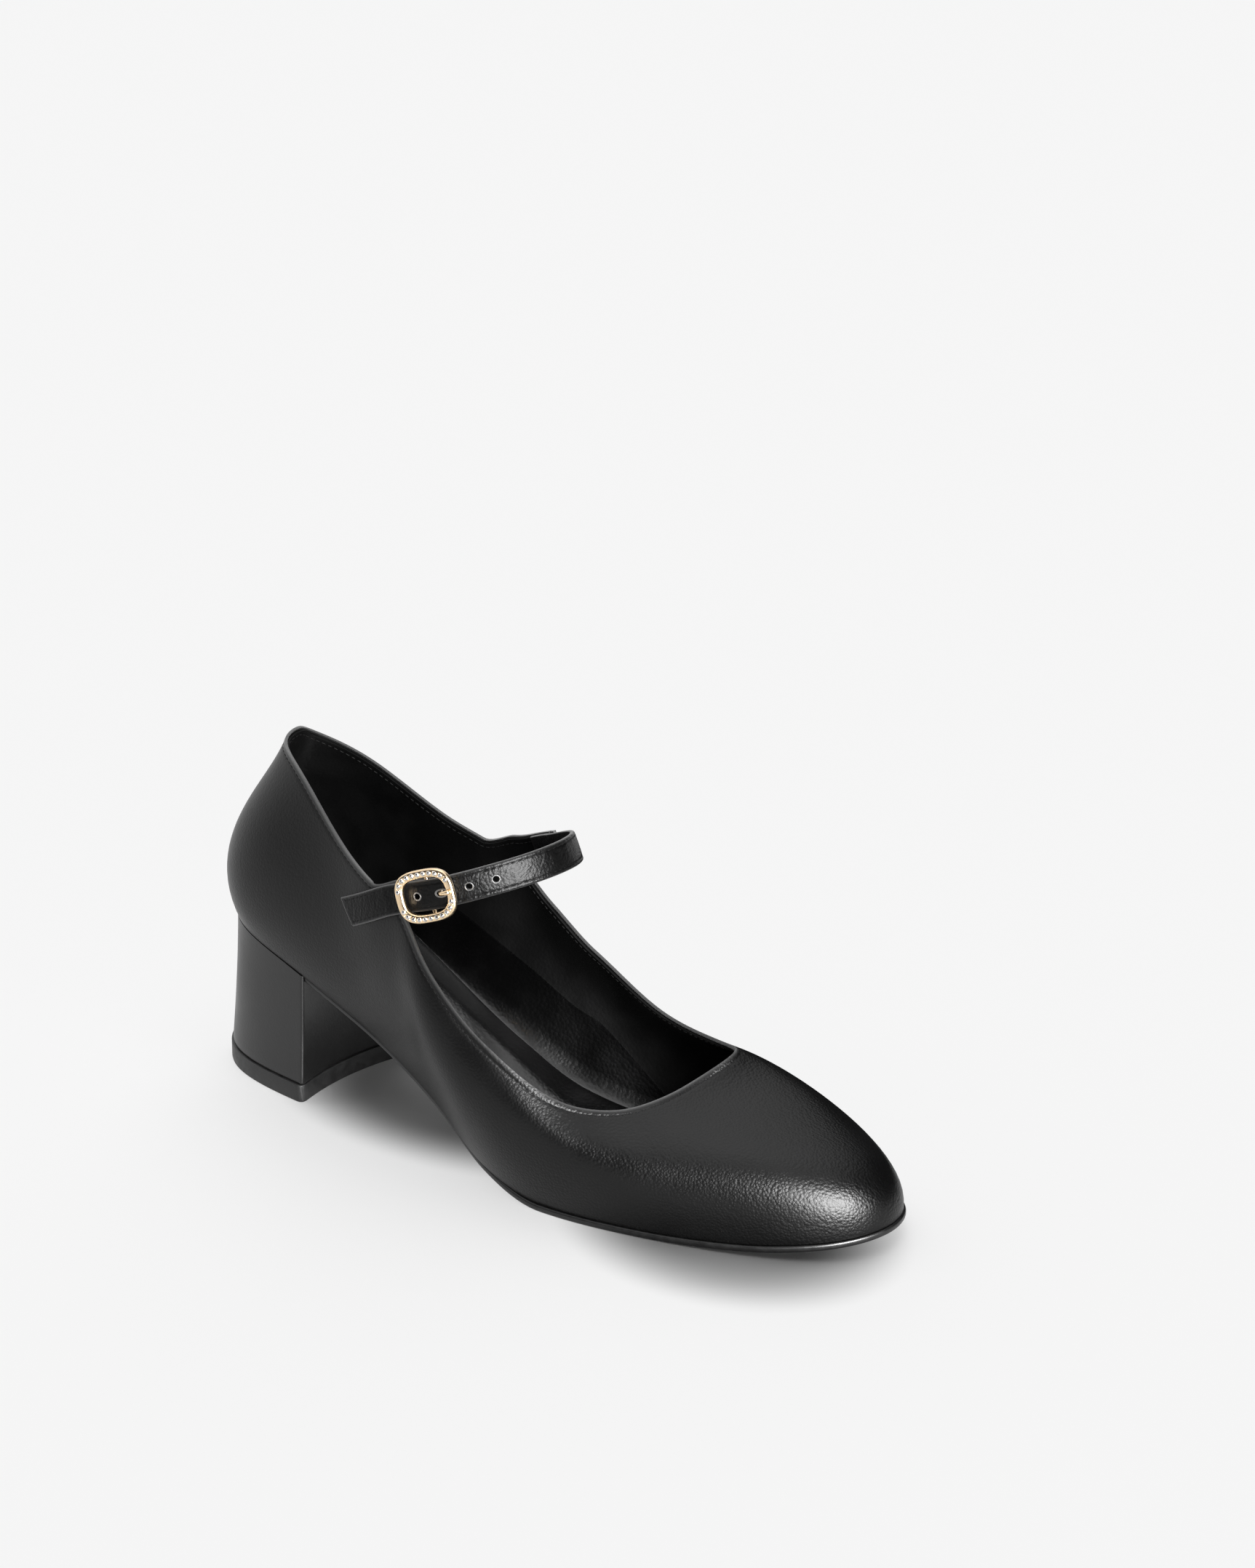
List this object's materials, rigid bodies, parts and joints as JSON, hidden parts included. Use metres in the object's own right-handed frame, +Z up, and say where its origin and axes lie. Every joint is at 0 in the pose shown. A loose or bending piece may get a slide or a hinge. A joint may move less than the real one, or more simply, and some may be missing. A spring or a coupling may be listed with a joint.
{
  "type": "mary jane pump",
  "caption": "Black leather court shoe with a block heel, rounded toe and a thin strap across the instep, fastened by a small oval buckle on the outer side.",
  "frame": {"origin": "middle of the heel's top piece, on the floor", "axes": "+X towards the toe, +Y towards the wearer's left (the inner side of this right shoe), +Z up"},
  "size_m": [0.2417, 0.081, 0.1121],
  "materials": {
    "upper": "satin nappa with a fine grain",
    "outsole": "satin, painted edge",
    "insole": "glossy with a pebble grain",
    "heel": "satin nappa over a hard block",
    "heel_top_piece": "matt",
    "strap": "half gloss, lightly wrinkled",
    "buckle_frame": "polished light gold plate, set with clear crystals",
    "buckle_prong": "polished light gold plate"
  },
  "bodies": {
    "root": {"upper": "upper", "outsole": "outsole", "insole": "insole", "heel": "heel", "heel_top_piece": "heel_top_piece", "strap": "strap", "buckle_frame": "buckle_frame", "buckle_prong": "buckle_prong"}
  },
  "joints": []
}
